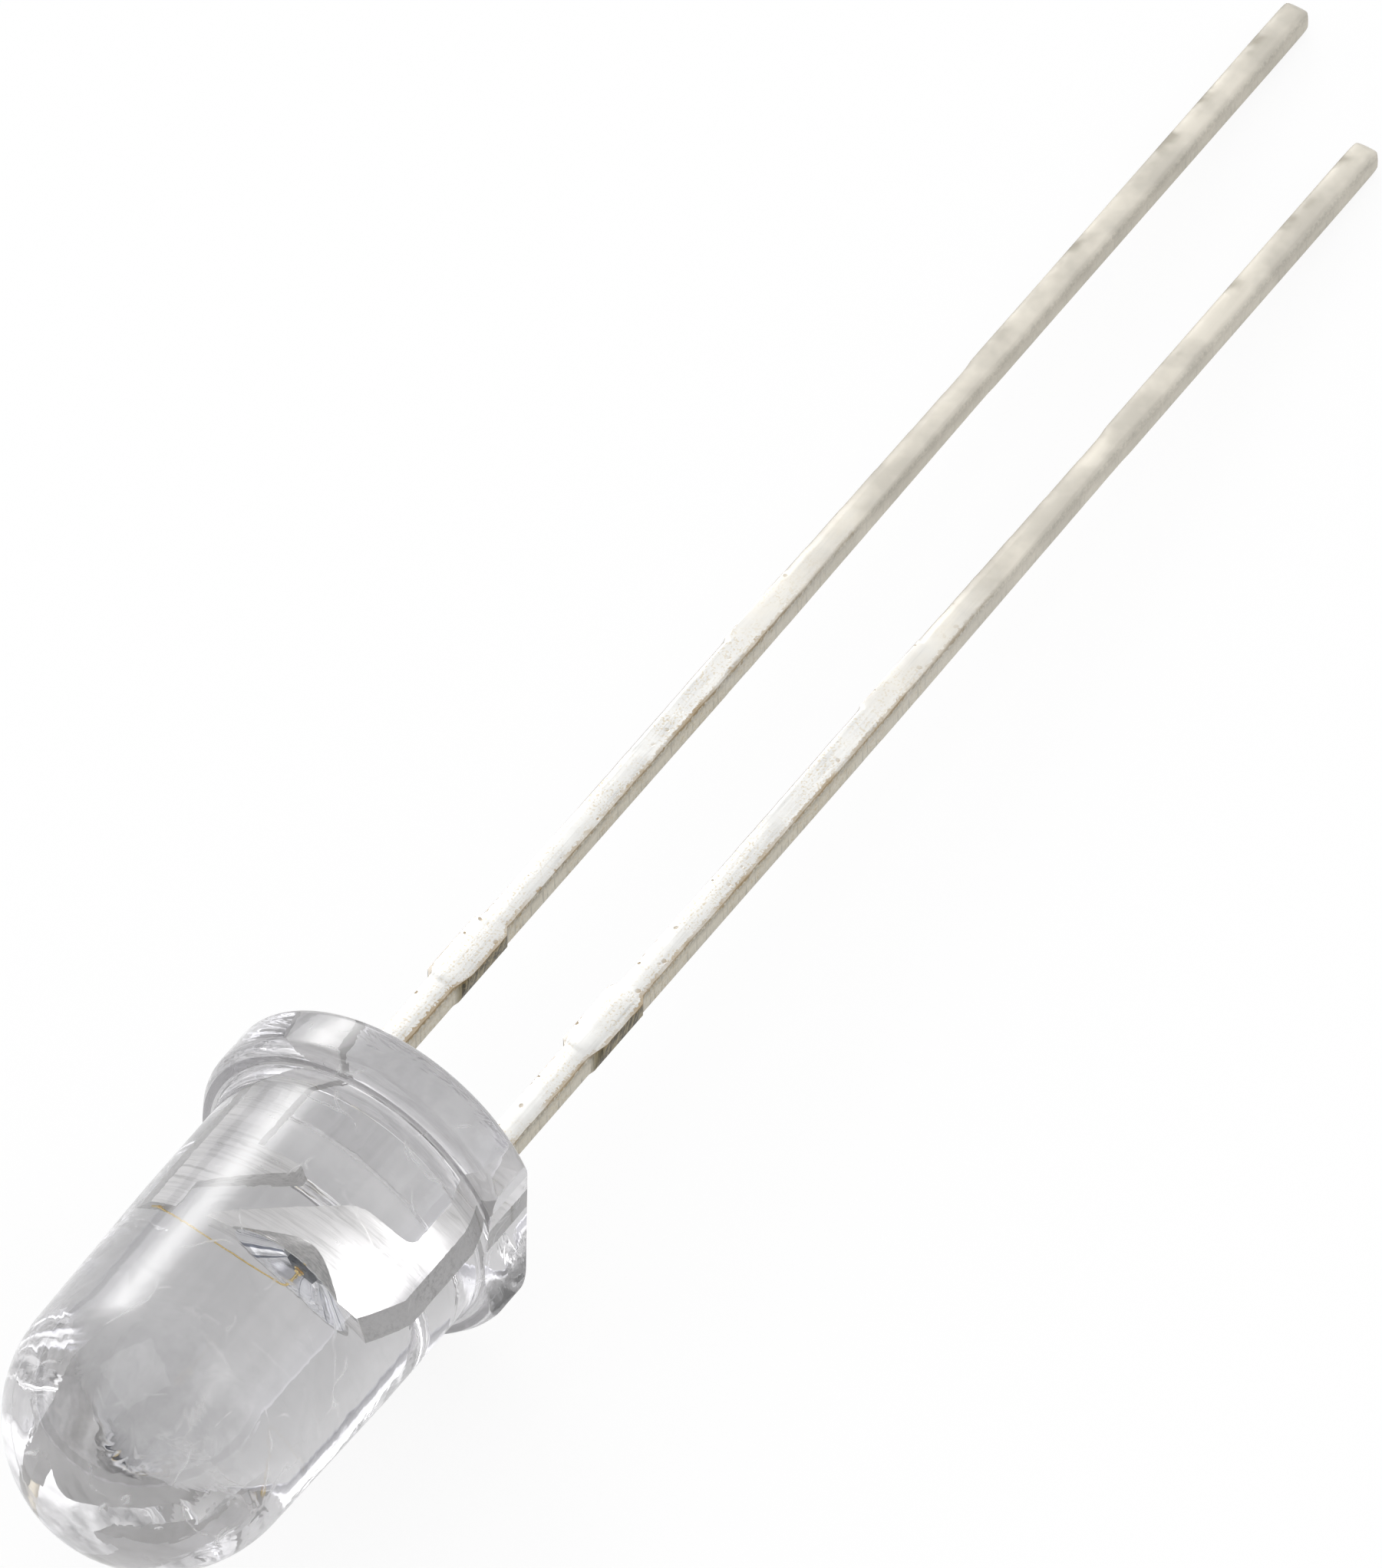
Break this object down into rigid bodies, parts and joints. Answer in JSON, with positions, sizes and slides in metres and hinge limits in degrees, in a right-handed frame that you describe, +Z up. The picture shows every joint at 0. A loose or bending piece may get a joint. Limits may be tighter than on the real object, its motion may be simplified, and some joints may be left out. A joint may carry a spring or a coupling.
{
  "type": "through hole led",
  "caption": "Round clear domed light-emitting diode with a flanged base, a reflector cup seen through the cast body and straight stamped leads of unequal length, lying as it rests.",
  "frame": {"origin": "on the ground under the middle of the overall length, straight below the lens axis", "axes": "+X along the ground from the dome towards the tips of the leads, +Y towards the anode side, +Z up from the ground that the LED lies on"},
  "size_m": [0.0368, 0.0056, 0.006],
  "materials": {
    "clear_epoxy": "water-clear cast epoxy, polished",
    "tinned_steel_anode": "stamped steel strip, satin tin plating, ends dipped in solder",
    "tinned_steel_cathode": "stamped steel strip, satin tin plating, ends dipped in solder",
    "die": "dark sawn semiconductor, slightly glossy",
    "contact_metal": "thin gold film",
    "silver_adhesive": "cured silver-filled adhesive, matt",
    "gold_wire": "drawn gold bond wire, bright"
  },
  "bodies": {
    "root": {"lens": "clear_epoxy", "anode_lead": "tinned_steel_anode", "cathode_lead": "tinned_steel_cathode", "led_die": "die", "top_contact": "contact_metal", "die_attach": "silver_adhesive", "bond_wire": "gold_wire"}
  },
  "joints": []
}
